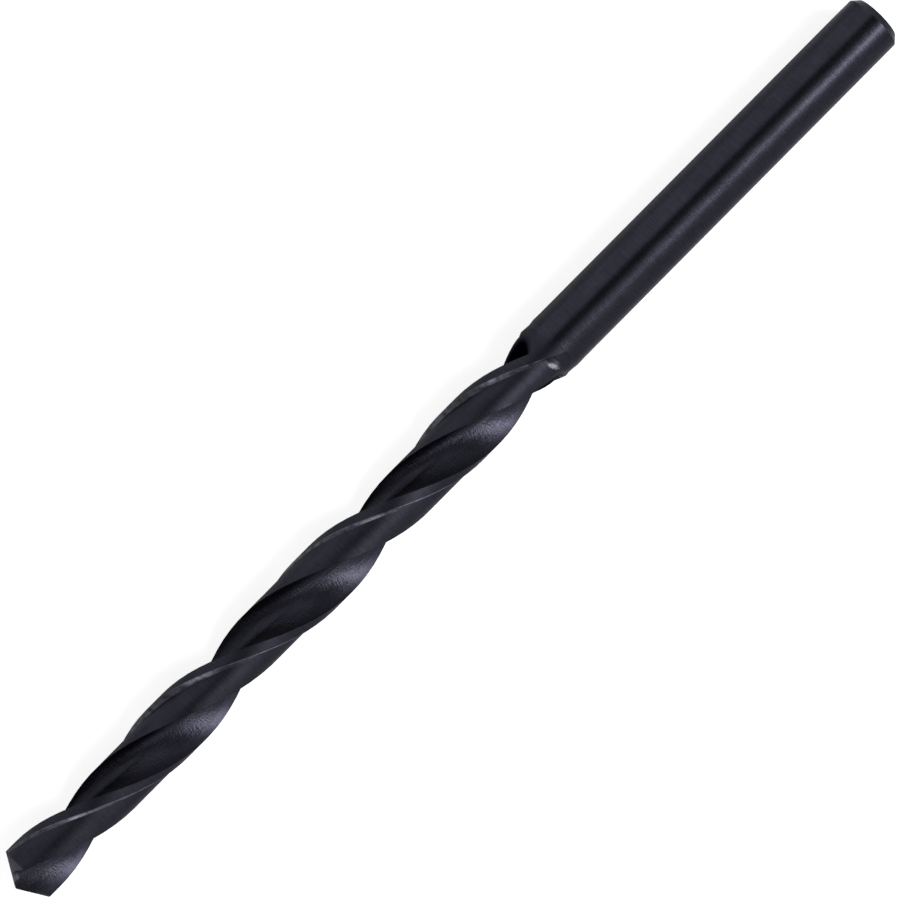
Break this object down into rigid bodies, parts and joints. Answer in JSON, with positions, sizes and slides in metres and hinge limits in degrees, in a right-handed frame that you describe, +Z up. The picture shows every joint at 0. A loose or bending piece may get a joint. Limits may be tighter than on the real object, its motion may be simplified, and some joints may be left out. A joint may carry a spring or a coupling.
{
  "type": "twist drill bit",
  "caption": "Parallel-shank twist drill bit with right-hand helical flutes, cleared lands, conical point and chamfered shank end, black oxide finish.",
  "frame": {"origin": "under the middle of the drill's length, at the height of its lowest point as it lies", "axes": "+X along the drill's axis from the point to the shank end, +Y across, +Z up as it lies"},
  "size_m": [0.0768, 0.004, 0.004],
  "materials": {
    "black_oxide_steel": "black oxide over ground high-speed steel, semi-gloss"
  },
  "bodies": {
    "root": {"drill_bit": "black_oxide_steel"}
  },
  "joints": []
}
